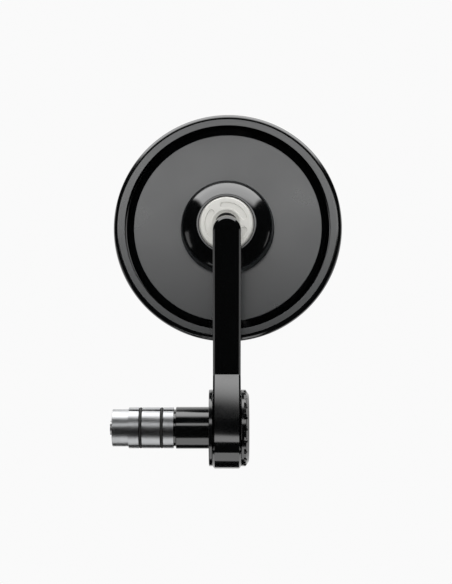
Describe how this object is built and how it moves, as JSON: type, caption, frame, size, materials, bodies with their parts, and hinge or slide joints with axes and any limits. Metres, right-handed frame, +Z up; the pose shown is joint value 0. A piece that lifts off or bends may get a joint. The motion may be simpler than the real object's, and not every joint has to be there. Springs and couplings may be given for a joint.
{
  "type": "motorcycle mirror",
  "caption": "Round bar-end motorcycle mirror: clamp arm, ball joint with lock ring, turned housing, flat glass, and a bar-end fitting with an expander that grips the handlebar's bore.",
  "frame": {"origin": "on the handlebar's axis, at its end plane, which is the inner face of the fitting's inner flange", "axes": "+X outward along the handlebar, +Z up, mirror's back towards -Y and glass towards +Y"},
  "size_m": [0.1, 0.045, 0.1533],
  "materials": {
    "black_gloss": "gloss black anodised",
    "black_satin": "satin black anodised",
    "bright_alloy": "fine turned, clear anodised",
    "jaw_alloy": "turned, plain",
    "ball_steel": "polished stainless steel",
    "bolt_steel": "stainless steel",
    "black_screw": "black oxide steel",
    "steel": "zinc-plated",
    "spring_steel": "phosphated spring steel",
    "seat_polymer": "black acetal",
    "o_ring": "nitrile rubber",
    "foam": "adhesive foam",
    "mirror": "silvered glass"
  },
  "bodies": {
    "bar_end": {"bar_end_body": "black_gloss", "end_cap": "black_gloss", "cap_oring": "o_ring", "centre_bolt": "bolt_steel", "bolt_washer": "steel", "expander_jaw_1": "jaw_alloy", "expander_jaw_2": "jaw_alloy", "expander_jaw_3": "jaw_alloy", "jaw_oring_outer": "o_ring", "jaw_oring_inner": "o_ring", "expander_cone": "jaw_alloy"},
    "arm": {"arm": "black_gloss", "ball_stud": "ball_steel", "clamp_screw": "black_screw"},
    "ball_tilt": {"rear_seat": "seat_polymer"},
    "ball_pan": {"front_seat": "seat_polymer"},
    "head": {"mirror_housing": "black_satin", "lock_ring": "bright_alloy", "pressure_ring": "steel", "disc_spring_1": "spring_steel", "disc_spring_2": "spring_steel", "glass_pad": "foam", "mirror_glass": "mirror"}
  },
  "joints": [
    {"name": "clamp_turn", "type": "hinge", "parent": "bar_end", "child": "arm", "pos_m": [0.0076, 0, 0], "axis": [1, 0, 0], "continuous": true},
    {"name": "mirror_tilt", "type": "hinge", "parent": "arm", "child": "ball_tilt", "pos_m": [0.0076, 0.00903, 0.08682], "axis": [1, 0, 0], "range_deg": [-2.6, 33.6]},
    {"name": "mirror_pan", "type": "hinge", "parent": "ball_tilt", "child": "ball_pan", "pos_m": [0.0076, 0.00903, 0.08682], "axis": [0.0039, 0.094, 0.9956], "range_deg": [-14.6, 19.4]},
    {"name": "mirror_spin", "type": "hinge", "parent": "ball_pan", "child": "head", "pos_m": [0.0076, 0.00903, 0.08682], "axis": [-0.0417, -0.9947, 0.0941], "continuous": true}
  ]
}
